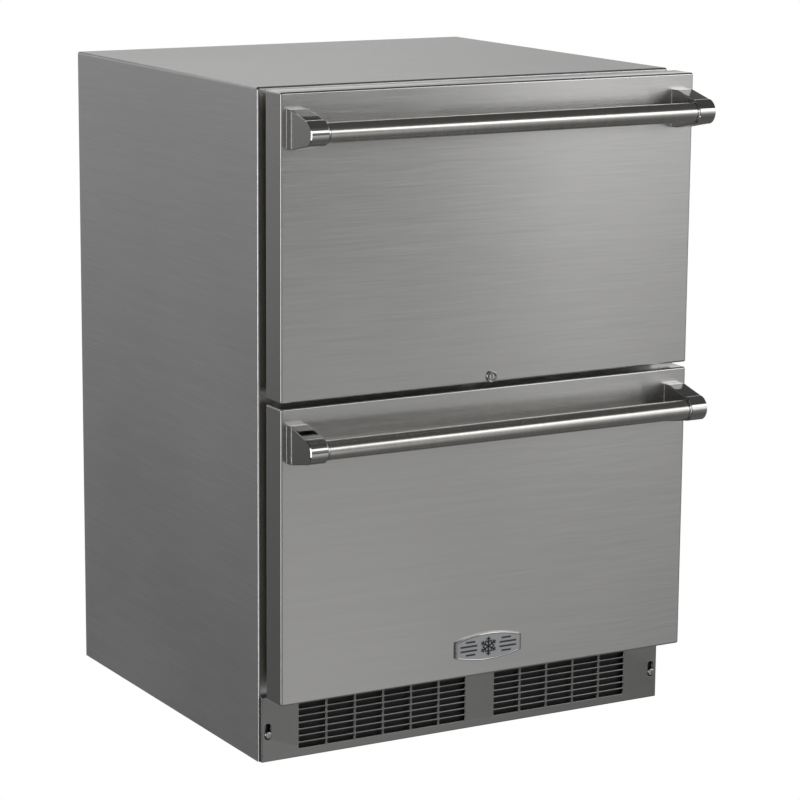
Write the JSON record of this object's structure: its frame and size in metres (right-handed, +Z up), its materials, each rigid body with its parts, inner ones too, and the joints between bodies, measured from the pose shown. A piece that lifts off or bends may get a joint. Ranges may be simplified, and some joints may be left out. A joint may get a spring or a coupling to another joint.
{
  "type": "under counter fridge",
  "caption": "Under counter refrigerator with upper and lower pull-out drawers, tubular bar handles on posts, a cam lock, a slotted toe grille and front-breathing cooling machinery.",
  "frame": {"origin": "on the floor, under the centre of the whole object's box", "axes": "+Z up, the drawers open towards -Y, +X is to the right of a person facing the drawers"},
  "size_m": [0.6064, 0.667, 0.869],
  "materials": {
    "stainless": "fine horizontal brushed grain",
    "stainless_front": "fine horizontal brushed grain",
    "stainless_rail": "fine brushed",
    "grille_steel": "fine brushed",
    "chrome": "polished",
    "bar_steel": "brushed around the tube",
    "seal_rubber": "matte",
    "liner_plastic": "satin",
    "strip_plastic": "matte",
    "foam": "matte",
    "galvanised": "spangled zinc",
    "compressor_black": "satin black paint",
    "copper": "drawn copper",
    "aluminium": "thin fins",
    "condenser_black": "black paint",
    "black_plastic": "moulded",
    "rubber": "matte",
    "bin_steel": "satin",
    "slide_steel": "zinc plated",
    "screw_steel": "plain steel",
    "badge_metal": "satin face with a bright rim",
    "button_plastic": "moulded",
    "lens": "frosted"
  },
  "bodies": {
    "cabinet": {"back_panel": "galvanised", "base_pan": "galvanised", "breaker_strips": "strip_plastic", "cabinet_slides": "slide_steel", "cabinet_wrapper": "stainless", "compressor": "compressor_black", "compressor_grommets": "rubber", "condenser_coil": "condenser_black", "condenser_fan_motor": "black_plastic", "condenser_shroud": "galvanised", "control_housing": "liner_plastic", "drip_pan": "black_plastic", "evaporator_coil": "aluminium", "evaporator_cover": "liner_plastic", "evaporator_fan_frame": "black_plastic", "filter_drier": "copper", "foam_insulation": "foam", "grille_screws": "screw_steel", "inlet_gland": "black_plastic", "inner_liner": "liner_plastic", "light_lens": "lens", "lock_strike": "screw_steel", "mullion_rail": "stainless_rail", "rear_cover": "galvanised", "rear_cover_screws": "screw_steel", "refrigerant_lines": "copper", "sill_rail": "stainless_rail", "toe_grille": "grille_steel"},
    "upper_drawer": {"upper_front_skin": "stainless_front", "upper_core": "foam", "upper_inner_panel": "liner_plastic", "upper_gasket": "seal_rubber", "upper_handle_posts": "chrome", "upper_handle_bar": "bar_steel", "upper_handle_screws": "screw_steel", "upper_bin": "bin_steel", "upper_slide_inner": "slide_steel", "lock_housing": "chrome"},
    "lower_drawer": {"lower_front_skin": "stainless_front", "lower_core": "foam", "lower_inner_panel": "liner_plastic", "lower_gasket": "seal_rubber", "lower_handle_posts": "chrome", "lower_handle_bar": "bar_steel", "lower_handle_screws": "screw_steel", "lower_bin": "bin_steel", "lower_slide_inner": "slide_steel", "badge": "badge_metal"},
    "upper_slide": {"upper_slide_middle": "slide_steel"},
    "lower_slide": {"lower_slide_middle": "slide_steel"},
    "lock": {"lock_plug": "chrome"},
    "condenser_fan": {"condenser_fan_rotor": "black_plastic"},
    "evaporator_fan": {"evaporator_fan_rotor": "black_plastic"},
    "button_1": {"control_button_1": "button_plastic"},
    "button_2": {"control_button_2": "button_plastic"},
    "button_3": {"control_button_3": "button_plastic"},
    "leg_front_left": {"leg_front_left": "screw_steel"},
    "leg_front_right": {"leg_front_right": "screw_steel"},
    "leg_rear_left": {"leg_rear_left": "screw_steel"},
    "leg_rear_right": {"leg_rear_right": "screw_steel"}
  },
  "joints": [
    {"name": "upper_drawer_slide", "type": "slide", "parent": "cabinet", "child": "upper_drawer", "axis": [0, -1, 0], "range_m": [0, 0.4]},
    {"name": "lower_drawer_slide", "type": "slide", "parent": "cabinet", "child": "lower_drawer", "axis": [0, -1, 0], "range_m": [0, 0.4]},
    {"name": "upper_slide_follow", "type": "slide", "parent": "cabinet", "child": "upper_slide", "axis": [0, -1, 0], "range_m": [0, 0.2]},
    {"name": "lower_slide_follow", "type": "slide", "parent": "cabinet", "child": "lower_slide", "axis": [0, -1, 0], "range_m": [0, 0.2]},
    {"name": "lock_turn", "type": "hinge", "parent": "upper_drawer", "child": "lock", "pos_m": [0, -0.25, 0.493], "axis": [0, 1, 0], "range_deg": [0, 90]},
    {"name": "condenser_fan_spin", "type": "hinge", "parent": "cabinet", "child": "condenser_fan", "pos_m": [-0.105, 0.215, 0.107], "axis": [1, 0, 0], "continuous": true},
    {"name": "evaporator_fan_spin", "type": "hinge", "parent": "cabinet", "child": "evaporator_fan", "pos_m": [0, 0.245, 0.64], "axis": [0, 1, 0], "continuous": true},
    {"name": "control_button_1_press", "type": "slide", "parent": "cabinet", "child": "button_1", "axis": [0, 1, 0], "range_m": [0, 0.0008], "stiffness_N_per_m": 1500},
    {"name": "control_button_2_press", "type": "slide", "parent": "cabinet", "child": "button_2", "axis": [0, 1, 0], "range_m": [0, 0.0008], "stiffness_N_per_m": 1500},
    {"name": "control_button_3_press", "type": "slide", "parent": "cabinet", "child": "button_3", "axis": [0, 1, 0], "range_m": [0, 0.0008], "stiffness_N_per_m": 1500},
    {"name": "leg_front_left_screw", "type": "slide", "parent": "cabinet", "child": "leg_front_left", "axis": [0, 0, -1], "range_m": [0, 0.025]},
    {"name": "leg_front_right_screw", "type": "slide", "parent": "cabinet", "child": "leg_front_right", "axis": [0, 0, -1], "range_m": [0, 0.025]},
    {"name": "leg_rear_left_screw", "type": "slide", "parent": "cabinet", "child": "leg_rear_left", "axis": [0, 0, -1], "range_m": [0, 0.025]},
    {"name": "leg_rear_right_screw", "type": "slide", "parent": "cabinet", "child": "leg_rear_right", "axis": [0, 0, -1], "range_m": [0, 0.025]}
  ],
  "couplings": [
    {"joint": "upper_slide_follow", "follows": "upper_drawer_slide", "ratio": 0.5},
    {"joint": "lower_slide_follow", "follows": "lower_drawer_slide", "ratio": 0.5}
  ]
}
